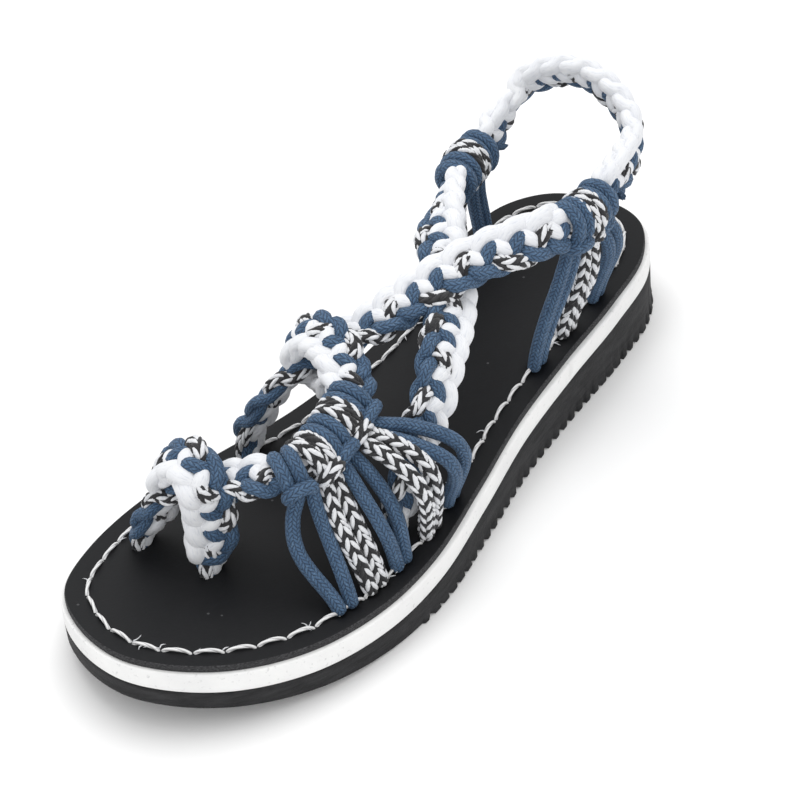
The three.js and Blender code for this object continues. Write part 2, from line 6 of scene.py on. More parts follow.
import bmesh
import bpy
import numpy as np
from mathutils import Matrix, Vector, noise


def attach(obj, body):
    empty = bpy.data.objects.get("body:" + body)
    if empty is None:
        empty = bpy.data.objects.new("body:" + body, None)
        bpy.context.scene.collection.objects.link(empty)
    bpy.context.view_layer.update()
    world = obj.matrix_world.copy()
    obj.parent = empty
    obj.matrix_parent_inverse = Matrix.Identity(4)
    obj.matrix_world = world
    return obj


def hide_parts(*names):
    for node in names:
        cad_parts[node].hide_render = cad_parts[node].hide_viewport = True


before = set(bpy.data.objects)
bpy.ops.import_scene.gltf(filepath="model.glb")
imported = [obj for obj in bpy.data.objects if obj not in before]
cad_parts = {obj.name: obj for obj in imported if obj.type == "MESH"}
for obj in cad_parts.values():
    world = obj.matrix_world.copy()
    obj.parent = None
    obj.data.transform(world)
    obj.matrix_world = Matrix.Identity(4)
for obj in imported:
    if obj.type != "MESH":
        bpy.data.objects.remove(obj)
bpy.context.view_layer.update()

MM = 0.001
TURN = 2 * math.pi

# Sole, millimetres
SOLE_LENGTH = 255.0
HALF_BALL = 47.75
OUTSOLE_TOE = 6.1
OUTSOLE_HEEL = 17.3
MIDSOLE_THICK = 7.0
INSOLE_THICK = 2.4
INSOLE_INSET = 1.5
TOE_SPRING = 9.7
SPRING_SHARE = 0.3
TREAD_PITCH = 5.0
TREAD_LAND = 3.0
TREAD_DEPTH = 1.2
TOOTH = 0.8
FIT_GAP = 0.3

# Straps and their plait, millimetres; FLATTEN and SQUARE are shares
INSTEP_HEIGHT = 60.0
PLAIT_STRANDS = 3
PLAIT_SWING = 3.3
PLAIT_WEAVE = 1.65
PLAIT_FLATTEN = 0.74
PLAIT_SQUARE = 0.15
PLAIT_APART = 2.1
WHITE_SINK = 0.18
WHITE_SWELL = 0.35
GATHER_EASE = 3.0
GATHERED_THICK = 5.6
HITCH_WIDTH = 7.9
STRAP_FOOT = 7.0
SLOT_INSET = 8.0
SLOT_SPARE = 1.0

# Looped ropes, millimetres. TURN_APART and TURN_PRESS are in cord radii, LEG_CROWD in cord
# thicknesses, LEG_LEAN and LEG_UPRIGHT shares of the leg's reach.
TURN_WIDE = 5.5
TURN_APART = {"blue": 1.0, "mixed": 0.75}
TURN_PRESS = 0.92
TURN_DEGREES = (158, 125, 90, 50, 15, -20, -55, -90, -122)
LEG_CROWD = 0.92
LEG_SHIFT = 0.8
LEG_LEAN = 0.5
LEG_UPRIGHT = 0.45
LEG_STEPS = 9

# The bar below a hitch: the turns' spacing, how far below BAR_LOW, how far out of the strap.
BAR_LOW = 5.1
BAR_COURSE = [(1.4, 0.6, -2.6), (1.7, 2.1, 0.4), (1.4, 2.3, 2.6)]
BAR_MIDDLE = (2.2, 3.5)

WHITE_RADIUS = 2.45
BLUE_RADIUS = 2.2
MIXED_RADIUS = 2.35

# Sole outline. share from the toe; outer and inner in half ball widths.
OUTLINE = [
    (0.015, 0.21, -0.45),
    (0.06, 0.533, -0.797),
    (0.14, 0.814, -0.971),
    (0.24, 0.971, -1.0),
    (0.34, 1.0, -0.86),
    (0.46, 0.899, -0.65),
    (0.58, 0.778, -0.556),
    (0.7, 0.719, -0.577),
    (0.82, 0.68, -0.671),
    (0.92, 0.592, -0.629),
    (0.98, 0.376, -0.38),
]
TOE_TIP = -0.079
HEEL_TIP = 0.079

# Middle of the foot that the straps face away from: share, side, rise.
FOOT_CORE = [
    (0.08, -0.1, 0.1),
    (0.3, 0, 0.2),
    (0.55, 0, 0.25),
    (0.72, 0, 0.35),
    (0.8, 0, 0.6),
    (0.82, 0, 1.6),
]

# Straps: share, side, rise, and whether the row turns round another strap. A last number is
# how far the row's face tilts upwards.
TOE_STRAP = [
    (0.186, -0.684, -0.02, False),
    (0.186, -0.684, 0.05, False),
    (0.189, -0.613, 0.152, False),
    (0.2, -0.533, 0.288, False),
    (0.215, -0.373, 0.382, False),
    (0.228, -0.173, 0.449, False),
    (0.24, 0.021, 0.5, False),
    (0.252, 0.21, 0.541, False),
    (0.279, 0.288, 0.564, False),
    (0.31, 0.288, 0.574, False),
    (0.34, 0.277, 0.583, False),
    (0.367, 0.25, 0.593, False),
    (0.391, 0.22, 0.612, False),
    (0.408, 0.113, 0.651, True),
    (0.422, -0.002, 0.701, True),
    (0.428, -0.124, 0.736, True),
    (0.43, -0.25, 0.719, True),
    (0.428, -0.342, 0.646, True),
    (0.432, -0.367, 0.548, True),
    (0.445, -0.308, 0.465, True),
    (0.449, -0.183, 0.434, True),
    (0.427, -0.044, 0.48, True),
    (0.416, 0.052, 0.563, True),
]
TOE_TURN_CENTRE = (0.438, -0.17, 0.59)
TOE_POST = [
    (0.19, -0.151, -0.02, False),
    (0.19, -0.151, 0.05, False),
    (0.194, -0.133, 0.187, True),
    (0.198, -0.141, 0.354, True),
    (0.196, -0.145, 0.52, True),
    (0.205, -0.252, 0.597, True),
    (0.212, -0.418, 0.556, True),
    (0.211, -0.533, 0.448, True),
    (0.233, -0.534, 0.35, True),
    (0.241, -0.398, 0.29, True),
    (0.224, -0.23, 0.29, True),
    (0.202, -0.147, 0.31, True),
]
POST_TURN_CENTRE = (0.222, -0.3, 0.38)
INSTEP_STRAP = [
    (0.373, -0.61, -0.02, False),
    (0.373, -0.61, 0.05, False),
    (0.381, -0.574, 0.206, False),
    (0.391, -0.465, 0.362, False),
    (0.414, -0.366, 0.472, False),
    (0.438, -0.239, 0.566, False),
    (0.467, -0.106, 0.624, False),
    (0.497, 0.034, 0.674, False),
    (0.551, 0.188, 0.743, False),
    (0.606, 0.335, 0.786, False),
    (0.654, 0.51, 0.807, False),
    (0.702, 0.629, 0.787, False),
    (0.74, 0.649, 0.745, False),
    (0.775, 0.66, 0.73, False),
    (0.807, 0.649, 0.736, False),
    (0.845, 0.639, 0.756, False),
    (0.891, 0.586, 0.758, False),
    (0.923, 0.482, 0.805, False, 0.15),
    (0.947, 0.263, 0.885, False, 0.35),
    (0.955, 0.017, 0.931, False, 0.6),
    (0.955, -0.251, 0.878, False, 0.9),
    (0.943, -0.464, 0.759, False, 1.1),
    (0.907, -0.49, 0.672, False, 0.7),
    (0.879, -0.5, 0.615, False, 0.3),
    (0.848, -0.49, 0.588, False),
    (0.812, -0.47, 0.593, False),
    (0.772, -0.42, 0.592, False),
    (0.709, -0.26, 0.66, False),
    (0.654, -0.085, 0.698, False),
    (0.614, 0.104, 0.684, False),
    (0.587, 0.237, 0.657, False),
    (0.547, 0.377, 0.635, False),
    (0.496, 0.498, 0.599, False),
    (0.454, 0.58, 0.495, False),
    (0.412, 0.62, 0.375, False),
    (0.362, 0.67, 0.22, False),
    (0.338, 0.68, 0.083, False),
    (0.338, 0.68, -0.02, False),
]

# Lobes of each plait: share of the strap's length, strands come to the coloured edge.
TOE_LOBES = [(0, -3), (0.146, 0), (0.303, 3), (0.606, 10), (0.689, 12), (0.748, 14), (1, 20)]
POST_LOBES = [(0, -3), (1, 8.7)]
INSTEP_LOBES = [
    (0, -0.84), (0.0174, 0), (0.0807, 3), (0.1473, 6), (0.203, 9), (0.2663, 12), (0.3057, 14),
    (0.3971, 20), (0.4338, 22), (0.5706, 30), (0.752, 39), (0.7678, 40), (0.8641, 46),
    (0.9074, 48), (1, 52.9),
]

# Looped ropes by group: strap, shares of its length at the hitches, side of the sole,
# then for each rope its cord, slot share, leg middle (share, side, rise), bow and, where it
# isn't LEG_SHIFT, how far along the strap the legs leave the hitch.
ROPE_GROUPS = {
    "forefoot": ("toe", (0.384, 0.431, 0.477, 0.521, 0.561), 1, [
        ("blue", 0.218, 0.228, 0.55, 0.222, 2.2, 1.6),
        ("mixed", 0.264, 0.27, 0.65, 0.26, 1.2),
        ("blue", 0.309, 0.311, 0.755, 0.255, 1.7),
        ("mixed", 0.37, 0.362, 0.87, 0.34, 1.52),
        ("blue", 0.424, 0.416, 0.9, 0.33, 1.6, -3.0),
    ]),
    "outer_ankle": ("instep", (0.318, 0.3327, 0.3474), 1, [
        ("blue", 0.668, 0.695, 0.625, 0.315, 1.05),
        ("mixed", 0.738, 0.755, 0.635, 0.27, 1.04),
        ("blue", 0.815, 0.808, 0.69, 0.345, 1.2),
    ]),
    "inner_ankle": ("instep", (0.623, 0.6377, 0.6524), -1, [
        ("blue", 0.85, 0.85, -0.55, 0.26, 1.05),
        ("mixed", 0.79, 0.8, -0.54, 0.26, 1.04),
        ("blue", 0.725, 0.745, -0.52, 0.26, 1.05),
    ]),
}
ROPE_THICK = {"blue": 4.1, "mixed": 4.6}

# Knit of the mixed cord and braid of the blue one, millimetres along the cord
KNIT_WALES = 3
KNIT_ROW = 2.25
KNIT_SLANT = 2.7
KNIT_UNEVEN = 0.1
KNIT_POINT = 0.6
BRAID_WALES = 5
BRAID_ROW = 1.4
BRAID_SLANT = 1.3

# Stitches and loose fibres, millimetres. A stitch's course: share of the pitch, lift over the
# leather, distance towards the edge.
STITCH_INSET = 6.9
STITCH_PITCH = 9.0
STITCH_COURSE = [
    (0.04, -1.4, 0.1),
    (0.07, -0.3, 0.15),
    (0.22, 0.4, 0.0),
    (0.5, 0.75, -0.1),
    (0.78, 0.5, 0.1),
    (0.93, -0.3, 0.25),
    (0.96, -1.4, 0.25),
]
THREAD_RADIUS = 0.56
FIBRE_RADIUS = 0.17
LINT_HAIRS = 46

# Loose cut tips of the blue cord: strap, share of its length, across, out, and how far each
# tip sticks outwards and along.
CORD_TIPS = [
    ("instep", 0.612, 0.0, -5.0, -2.8, -1.6),
    ("instep", 0.373, 4.0, 3.0, 1.6, -1.2),
]
TIP_FIBRES = 14

# Studio, metres and degrees
FLOOR_HALF = 6.0
CAMERA_LENS = 123.3
CAMERA_PLACE = (0.4184, -0.5049, 0.5620)
CAMERA_AZIMUTH = 39.27
CAMERA_ELEVATION = 39.13
CAMERA_ROLL = -5.81


# Places on the sole


def smooth(share):
    t = min(1.0, max(0.0, share))
    return t * t * (3 - 2 * t)


def spring_height(share):
    return TOE_SPRING * (max(0.0, SPRING_SHARE - share) / SPRING_SHARE) ** 2


def outsole_top(share):
    return spring_height(share) + OUTSOLE_TOE + (OUTSOLE_HEEL - OUTSOLE_TOE) * smooth(share)


def midsole_top(share):
    return outsole_top(share) + MIDSOLE_THICK


def footbed_top(share):
    return midsole_top(share) + INSOLE_THICK


def along_sole(share):
    return (share - 0.5) * SOLE_LENGTH


def share_of(y):
    return y / SOLE_LENGTH + 0.5


def placed(row):
    share, side, rise = row[:3]
    return np.array((side * HALF_BALL, along_sole(share), footbed_top(share) + rise * INSTEP_HEIGHT))


def unit(vectors):
    return vectors / np.linalg.norm(vectors, axis=-1, keepdims=True)


def smooth_curve(points, per_span, closed=False):
    """Points of a centripetal curve through points, with the spans' parameters."""
    count = len(points)
    spans = count if closed else count - 1

    def at(index):
        if closed:
            return points[index % count]
        if index < 0:
            return 2 * points[0] - points[1]
        if index > count - 1:
            return 2 * points[-1] - points[-2]
        return points[index]

    spots = []
    places = []
    for span in range(spans):
        a, b, c, d = at(span - 1), at(span), at(span + 1), at(span + 2)
        d0 = np.linalg.norm(a - b) ** 0.5
        d1 = np.linalg.norm(b - c) ** 0.5
        d2 = np.linalg.norm(c - d) ** 0.5
        start = ((b - a) / d0 - (c - a) / (d0 + d1) + (c - b) / d1) * d1
        end = ((c - b) / d1 - (d - b) / (d1 + d2) + (d - c) / d2) * d1
        for step in range(per_span):
            w = step / per_span
            cubic = 2 * b - 2 * c + start + end
            square = -3 * b + 3 * c - 2 * start - end
            spots.append(b + start * w + square * w * w + cubic * w ** 3)
            places.append(span + w)
    if not closed:
        spots.append(points[-1])
        places.append(float(spans))
    return np.array(spots), np.array(places)


def distances(path):
    return np.concatenate([[0.0], np.cumsum(np.linalg.norm(np.diff(path, axis=0), axis=1))])


def even_path(path, step):
    """The path again with points an even step apart, and how far along each one is."""
    along = distances(path)
    count = max(2, int(round(along[-1] / step)) + 1)
    marks = np.linspace(0, along[-1], count)
    return np.stack([np.interp(marks, along, path[:, axis]) for axis in range(3)], axis=1), marks


def outline_ring(inset, per_span=12):
    points = [np.array((TOE_TIP * HALF_BALL, along_sole(0)))]
    points += [np.array((outer * HALF_BALL, along_sole(share))) for share, outer, inner in OUTLINE]
    points.append(np.array((HEEL_TIP * HALF_BALL, along_sole(1))))
    points += [
        np.array((inner * HALF_BALL, along_sole(share))) for share, outer, inner in reversed(OUTLINE)
    ]
    ring = smooth_curve(points, per_span, closed=True)[0]
    along = unit(np.roll(ring, -1, axis=0) - np.roll(ring, 1, axis=0))
    return ring + inset * np.stack([-along[:, 1], along[:, 0]], axis=1)


def edge_point(share, side, inset):
    ring = outline_ring(inset)
    y = along_sole(share)
    nearest = 0.0
    for a, b in zip(ring, np.roll(ring, -1, axis=0)):
        if (a[1] - y) * (b[1] - y) <= 0 and a[1] != b[1]:
            x = a[0] + (b[0] - a[0]) * (y - a[1]) / (b[1] - a[1])
            if x * side > nearest * side:
                nearest = x
    return np.array((nearest, y))


# Straps


def nearest_on_core(point):
    core = [placed(row) for row in FOOT_CORE]
    best = None
    for a, b in zip(core, core[1:]):
        t = min(1.0, max(0.0, np.dot(point - a, b - a) / np.dot(b - a, b - a)))
        spot = a + t * (b - a)
        if best is None or np.linalg.norm(spot - point) < np.linalg.norm(best - point):
            best = spot
    return best


class Strap:
    """A strap's middle line, the way that it faces and where it is gathered."""

    def __init__(self, rows, lobes, turn_centre=None):
        points = [placed(row) for row in rows]
        facing = []
        for row, point in zip(rows, points):
            centre = placed(turn_centre) if row[3] else nearest_on_core(point)
            facing.append(unit(unit(point - centre) + (0, 0, sum(row[4:]))))
        self.path, places = smooth_curve(points, 60)
        low = np.minimum(places.astype(int), len(points) - 2)
        share = (places - low)[:, None]
        facing = np.array(facing)
        self.facing = facing[low] * (1 - share) + facing[low + 1] * share
        self.heading = unit(np.gradient(self.path, axis=0))
        self.along = distances(self.path)
        self.length = self.along[-1]
        self.lobes = lobes
        self.gathered = [(0.0, STRAP_FOOT)]

    def read(self, table, marks):
        return np.stack([np.interp(marks, self.along, table[:, axis]) for axis in range(3)], axis=-1)

    def frames(self, marks):
        """Centre, heading, outward and across directions at distances along the strap."""
        centre = self.read(self.path, marks)
        heading = unit(self.read(self.heading, marks))
        out = self.read(self.facing, marks)
        out = unit(out - heading * np.sum(out * heading, axis=-1, keepdims=True))
        return centre, heading, out, np.cross(heading, out)

    def lobe(self, marks):
        at, lobe = zip(*self.lobes)
        return np.interp(np.asarray(marks) / self.length, at, lobe)

    def gather(self, marks):
        """1 where the plait is drawn together, easing to 0 away from there."""
        result = np.zeros_like(marks)
        for start, end in self.gathered:
            away = np.maximum(start - marks, marks - end)
            near = np.clip(1 - away / GATHER_EASE, 0, 1)
            result = np.maximum(result, near * near * (3 - 2 * near))
        return result


straps = {
    "toe": Strap(TOE_STRAP, TOE_LOBES, TOE_TURN_CENTRE),
    "post": Strap(TOE_POST, POST_LOBES, POST_TURN_CENTRE),
    "instep": Strap(INSTEP_STRAP, INSTEP_LOBES),
}
instep = straps["instep"]
instep.gathered.append((instep.length - STRAP_FOOT, instep.length))
hitches = []
for group, (strap_name, starts, side, rows) in ROPE_GROUPS.items():
    strap = straps[strap_name]
    for index, row in enumerate(rows):
        middle = starts[index] * strap.length
        hitches.append((f"{group}_rope_{index + 1}", strap, middle, side, row))
        strap.gathered.append((middle - HITCH_WIDTH / 2, middle + HITCH_WIDTH / 2))


# Cords


def wave(values):
    """0 at whole numbers and 1 half-way between them."""
    return np.sin(np.pi * (values - np.floor(values)))


def slanted_rows(along, round_share, wales, row, slant):
    """Row number and place across the half wale of a cord's slanted yarns, each half a row
    further on than the one beside it."""
    column = round_share * wales
    half = np.abs(2 * (column - np.floor(column)) - 1)
    beside = np.mod(np.floor(2 * column), 2)
    return (along + slant * half) / row + beside / 2, half


def knit_relief(along, round_share):
    rows, half = slanted_rows(along, round_share, KNIT_WALES, KNIT_ROW, KNIT_SLANT)
    rows = rows + KNIT_UNEVEN * np.cos(np.pi * rows)
    leaf = wave(rows) - 1 + np.abs(wave(half)) ** KNIT_POINT
    return 0.75 * np.clip(leaf, 0, 1) ** 0.5 - 0.42


def braid_relief(along, round_share):
    half = slanted_rows(along, round_share, BRAID_WALES, BRAID_ROW, BRAID_SLANT)[1]
    return 0.12 * np.abs(wave(half)) ** 0.5 - 0.08


def thread_relief(along, round_share):
    """Two plies laid round one another."""
    return 0.1 * np.abs(np.cos(np.pi * (2 * round_share - along / 5))) - 0.08


def soft_relief(along, round_share):
    lumps = np.sin(TURN * along / 5.3 + 1.3) * 0.03 + np.sin(TURN * along / 2.9) * 0.02
    return lumps + 0 * round_share


CORDS = {
    "white": {"radius": WHITE_RADIUS, "sides": 20, "step": 0.9, "relief": soft_relief},
    "blue": {"radius": BLUE_RADIUS, "sides": 20, "step": 0.9, "relief": braid_relief},
    "mixed": {"radius": MIXED_RADIUS, "sides": 32, "step": 0.36, "relief": knit_relief},
    "thread": {"radius": THREAD_RADIUS, "sides": 12, "step": 0.6, "relief": thread_relief},
    "fray": {"radius": FIBRE_RADIUS, "sides": 6, "step": 0.7, "relief": soft_relief},
}


def cord_mesh(path, kind, facing=None, flatten=1.0, roughness=0.06, swell=None):
    """One cord along a path in millimetres, pressed flatter along facing, as a mesh."""
    look = CORDS[kind]
    spots, marks = even_path(path, look["step"])
    sides = look["sides"]
    curve = bpy.data.curves.new("cord", "CURVE")
    curve.dimensions = "3D"
    curve.bevel_depth = look["radius"] * MM
    curve.bevel_resolution = sides // 2 - 2
    curve.twist_mode = "MINIMUM"
    spline = curve.splines.new("POLY")
    spline.points.add(len(spots) - 1)
    spline.points.foreach_set("co", np.c_[spots * MM, np.ones(len(spots))].astype(np.float32).ravel())
    carrier = bpy.data.objects.new("cord", curve)
    mesh = bpy.data.meshes.new_from_object(carrier)
    bpy.data.objects.remove(carrier)
    bpy.data.curves.remove(curve)
    flat = np.empty(len(mesh.vertices) * 3, dtype=np.float32)
    mesh.vertices.foreach_get("co", flat)
    rings = flat.reshape(len(spots), sides, 3) / MM
    centre = spots[:, None, :]
    arm = rings - centre
    reach = np.linalg.norm(arm, axis=2, keepdims=True)
    away = arm / reach
    round_share = np.arange(sides)[None, :] / sides
    reach = reach + look["relief"](marks[:, None], round_share)[..., None]
    if swell is not None:
        reach = reach + np.interp(marks, distances(path), swell)[:, None, None]
    if facing is not None:
        outward = np.stack(
            [np.interp(marks, distances(path), facing[:, axis]) for axis in range(3)], axis=1)
        outward = unit(outward)[:, None, :]
        depth = np.sum(away * outward, axis=2, keepdims=True)
        away = away - outward * depth * (1 - flatten)
    end_near = np.minimum(marks, marks[-1] - marks)
    tip = np.sqrt(np.clip(1 - (1 - np.clip(end_near / look["radius"], 0, 1)) ** 2, 0.02, 1))
    rings = centre + away * reach * tip[:, None, None]
    if roughness:
        for ring in rings:
            for vertex in ring:
                lump = noise.noise(Vector(vertex) * 0.28) * roughness
                vertex += lump * unit(vertex - ring.mean(axis=0))
    mesh.vertices.foreach_set("co", (rings * MM).astype(np.float32).ravel())
    label_cord(mesh, marks, sides)
    return mesh


def label_cord(mesh, marks, sides):
    """UV map: millimetres along the cord and share of the way round it."""
    while mesh.uv_layers:
        mesh.uv_layers.remove(mesh.uv_layers[0])
    layer = mesh.uv_layers.new(name="cord")
    for face in mesh.polygons:
        corners = [mesh.loops[index].vertex_index for index in face.loop_indices]
        seam = any(c % sides == 0 for c in corners) and any(c % sides == sides - 1 for c in corners)
        for index, corner in zip(face.loop_indices, corners):
            turn = corner % sides
            round_share = 1.0 if seam and turn == 0 else turn / sides
            layer.data[index].uv = (marks[corner // sides], round_share)


def piece_of(name, meshes, material, nodes):
    """One object made of several meshes, its ends closed and its faces outwards."""
    bm = bmesh.new()
    for mesh in meshes:
        bm.from_mesh(mesh)
        bpy.data.meshes.remove(mesh)
    bmesh.ops.holes_fill(bm, edges=[edge for edge in bm.edges if edge.is_boundary], sides=64)
    bmesh.ops.recalc_face_normals(bm, faces=bm.faces)
    finish_piece(name, bm, [material], nodes)


def finish_piece(name, bm, materials, nodes):
    """Puts a finished mesh in the scene, in place of the named nodes."""
    for face in bm.faces:
        face.smooth = True
    mesh = bpy.data.meshes.new(name)
    bm.to_mesh(mesh)
    bm.free()
    piece = bpy.data.objects.new(name, mesh)
    bpy.context.scene.collection.objects.link(piece)
    for material in materials:
        mesh.materials.append(material)
    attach(piece, "root")
    if nodes:
        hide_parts(*nodes)


def strand_cords(strap, strand):
    """The coloured and the white cord of one strand: paths, the way they face, white's swell."""
    marks = np.arange(0, strap.length, 0.5)
    centre, heading, out, across = strap.frames(marks)
    drawn = strap.gather(marks)[:, None]
    phase = (TURN / PLAIT_STRANDS * (strap.lobe(marks) - strand))[:, None]
    sway = (np.cos(phase) - PLAIT_SQUARE * np.cos(3 * phase)) / (1 - PLAIT_SQUARE)
    swing = PLAIT_SWING * (1 - 0.6 * drawn) * sway
    weave = -PLAIT_WEAVE * (1 - 0.45 * drawn) * (np.sin(2 * phase) + 0.12 * np.sin(6 * phase))
    middle = centre + across * swing + out * weave
    course = unit(np.gradient(middle, axis=0))
    beside = unit(across - course * np.sum(across * course, axis=1, keepdims=True))
    apart = PLAIT_APART * (1 - 0.35 * drawn)
    sink = WHITE_SINK * (1 - drawn)
    coloured = middle + beside * apart + out * sink
    white = middle - beside * apart * 1.05 - out * sink
    swell = -WHITE_SWELL * (np.cos(phase) * (1 - drawn))[:, 0]
    return coloured, white, out, swell


def rope_path(strap, middle, side, row):
    """A looped rope's whole course: leg, round the strap, bar, round the strap, leg."""
    cord, foot, share, leg_side, rise, bow = row[:6]
    exit_shift = row[6] if len(row) > 6 else LEG_SHIFT
    thick = ROPE_THICK[cord]
    radius = CORDS[cord]["radius"]
    centre, heading, out, across = strap.frames(middle)
    forwards = math.copysign(1, heading[1])

    def spot(along, sideways, outwards):
        return centre + heading * along + across * sideways + out * outwards

    halves = []
    for index in range(2):
        way = (-1 if index == 0 else 1) * forwards
        turn_at = way * radius * TURN_APART[cord]
        end_share = foot + (index - 0.5) * thick * LEG_CROWD / SOLE_LENGTH
        end_xy = edge_point(end_share, side, SLOT_INSET)
        end = np.array((*end_xy, footbed_top(share_of(end_xy[1])) - INSOLE_THICK / 2))
        start = spot(turn_at * 0.9 + exit_shift * forwards, BAR_LOW + 1.2, -0.9)
        between = placed((share, leg_side, rise)) + heading * way * bow * thick / 2
        upright = end + (between - end) * (LEG_LEAN, LEG_LEAN, 0)
        upright[2] += (start[2] - end[2]) * LEG_UPRIGHT
        pull = (8 * between - start - end) / 3 - upright
        course = []
        for t in np.linspace(1, 0, LEG_STEPS):
            course.append(
                start * (1 - t) ** 3 + 3 * pull * t * (1 - t) ** 2
                + 3 * upright * t * t * (1 - t) + end * t ** 3)
        deep = GATHERED_THICK / 2 + radius * TURN_PRESS + FIT_GAP
        for degrees in TURN_DEGREES:
            angle = math.radians(degrees)
            reach = TURN_WIDE * deep / math.hypot(deep * math.cos(angle), TURN_WIDE * math.sin(angle))
            course.append(spot(turn_at, -reach * math.cos(angle), reach * math.sin(angle)))
        for spread, below, outwards in BAR_COURSE:
            course.append(spot(turn_at * spread, BAR_LOW + below, outwards))
        halves.append(course)
    below, outwards = BAR_MIDDLE
    bar = [spot(0, BAR_LOW + below, outwards)]
    return smooth_curve(halves[0] + bar + halves[1][::-1], 10)[0]


# Materials


class Board:
    """A material's nodes, laid out by short calls."""

    def __init__(self, name):
        self.material = bpy.data.materials.new(name)
        self.material.use_nodes = True
        self.nodes = self.material.node_tree.nodes
        self.links = self.material.node_tree.links
        self.shader = self.nodes["Principled BSDF"]

    def add(self, kind, **values):
        node = self.nodes.new(kind)
        for name, value in values.items():
            setattr(node, name, value)
        return node

    def feed(self, socket, value):
        if isinstance(value, bpy.types.NodeSocket):
            self.links.new(value, socket)
        else:
            socket.default_value = value

    def math(self, operation, *values):
        node = self.add("ShaderNodeMath", operation=operation)
        for socket, value in zip(node.inputs, values):
            self.feed(socket, value)
        return node.outputs[0]

    def mix(self, share, low, high):
        node = self.add("ShaderNodeMix", data_type="RGBA")
        self.feed(node.inputs[0], share)
        self.feed(node.inputs[6], low)
        self.feed(node.inputs[7], high)
        return node.outputs[2]

    def noise(self, place, scale, detail=4.0, rough=0.55):
        node = self.add("ShaderNodeTexNoise")
        self.feed(node.inputs["Vector"], place)
        node.inputs["Scale"].default_value = scale
        node.inputs["Detail"].default_value = detail
        node.inputs["Roughness"].default_value = rough
        return node.outputs["Fac"]

    def ramp(self, value, low, high):
        """0 below low, 1 above high, straight between."""
        node = self.add("ShaderNodeMapRange")
        self.feed(node.inputs[0], value)
        node.inputs[1].default_value = low
        node.inputs[2].default_value = high
        return node.outputs[0]

    def place(self, scale=(1, 1, 1)):
        """Object coordinates in metres, stretched by a scale."""
        node = self.add("ShaderNodeMapping")
        self.links.new(self.add("ShaderNodeTexCoord").outputs["Object"], node.inputs[0])
        node.inputs["Scale"].default_value = scale
        return node.outputs[0]

    def cord_place(self):
        """Millimetres along the cord and share of the way round it."""
        parts = self.add("ShaderNodeSeparateXYZ")
        self.links.new(self.add("ShaderNodeUVMap", uv_map="cord").outputs[0], parts.inputs[0])
        return parts.outputs[0], parts.outputs[1]

    def bump(self, height, depth, strength):
        node = self.add("ShaderNodeBump")
        node.inputs["Strength"].default_value = strength
        node.inputs["Distance"].default_value = depth
        self.feed(node.inputs["Height"], height)
        if self.shader.inputs["Normal"].links:
            self.links.new(self.shader.inputs["Normal"].links[0].from_socket, node.inputs["Normal"])
        self.links.new(node.outputs[0], self.shader.inputs["Normal"])

    def slanted_rows(self, wales, row, slant):
        """Row number, place across the half wale and number of the half wale."""
        along, round_share = self.cord_place()
        column = self.math("FRACT", self.math("MULTIPLY", round_share, float(wales)))
        half = self.math("ABSOLUTE", self.math("SUBTRACT", self.math("MULTIPLY", column, 2.0), 1.0))
        rows = self.math("MULTIPLY_ADD", half, slant / row, self.math("DIVIDE", along, row))
        column_index = self.math("FLOOR", self.math("MULTIPLY", round_share, 2.0 * wales))
        beside = self.math("MODULO", column_index, 2.0)
        return self.math("MULTIPLY_ADD", beside, 0.5, rows), half, column_index

    def yarn_height(self, rows, half, sharpness):
        """Height of slanted yarns: 0 in the creases, 1 on their backs."""
        crest = self.math("SINE", self.math("MULTIPLY", self.math("FRACT", rows), math.pi))
        crest = self.math("POWER", crest, sharpness)
        ends = self.math("SINE", self.math("MULTIPLY", half, math.pi))
        ends = self.math("POWER", self.math("MAXIMUM", ends, 0.0), 0.5)
        return self.math("MULTIPLY", crest, self.math("MULTIPLY_ADD", ends, 0.85, 0.15))


def white_cord_material():
    board = Board("soft white cord")
    along, round_share = board.cord_place()
    fibre = board.add("ShaderNodeCombineXYZ")
    board.feed(fibre.inputs[0], board.math("MULTIPLY", along, 0.5))
    board.feed(fibre.inputs[1], board.math("MULTIPLY", round_share, 26.0))
    streaks = board.noise(fibre.outputs[0], 1.0, 3.0)
    cloud = board.noise(board.place(), 180.0, 3.0)
    colour = board.mix(board.ramp(cloud, 0.3, 0.7), (0.76, 0.775, 0.81, 1), (0.83, 0.84, 0.86, 1))
    # Painted shade: bluish grey in the grooves between the fibre streaks, where the streak bump sinks.
    colour = board.mix(board.ramp(streaks, 0.25, 0.45), (0.62, 0.645, 0.71, 1), colour)
    board.feed(board.shader.inputs["Base Color"], colour)
    board.shader.inputs["Roughness"].default_value = 0.85
    board.shader.inputs["Sheen Weight"].default_value = 0.35
    board.shader.inputs["Sheen Roughness"].default_value = 0.5
    board.shader.inputs["Subsurface Weight"].default_value = 0.06
    board.shader.inputs["Subsurface Radius"].default_value = (0.002, 0.002, 0.002)
    board.shader.inputs["Subsurface Scale"].default_value = 0.6
    board.bump(streaks, 0.0005, 0.6)
    board.bump(board.noise(board.place(), 900.0, 3.0), 0.0003, 0.35)
    return board.material


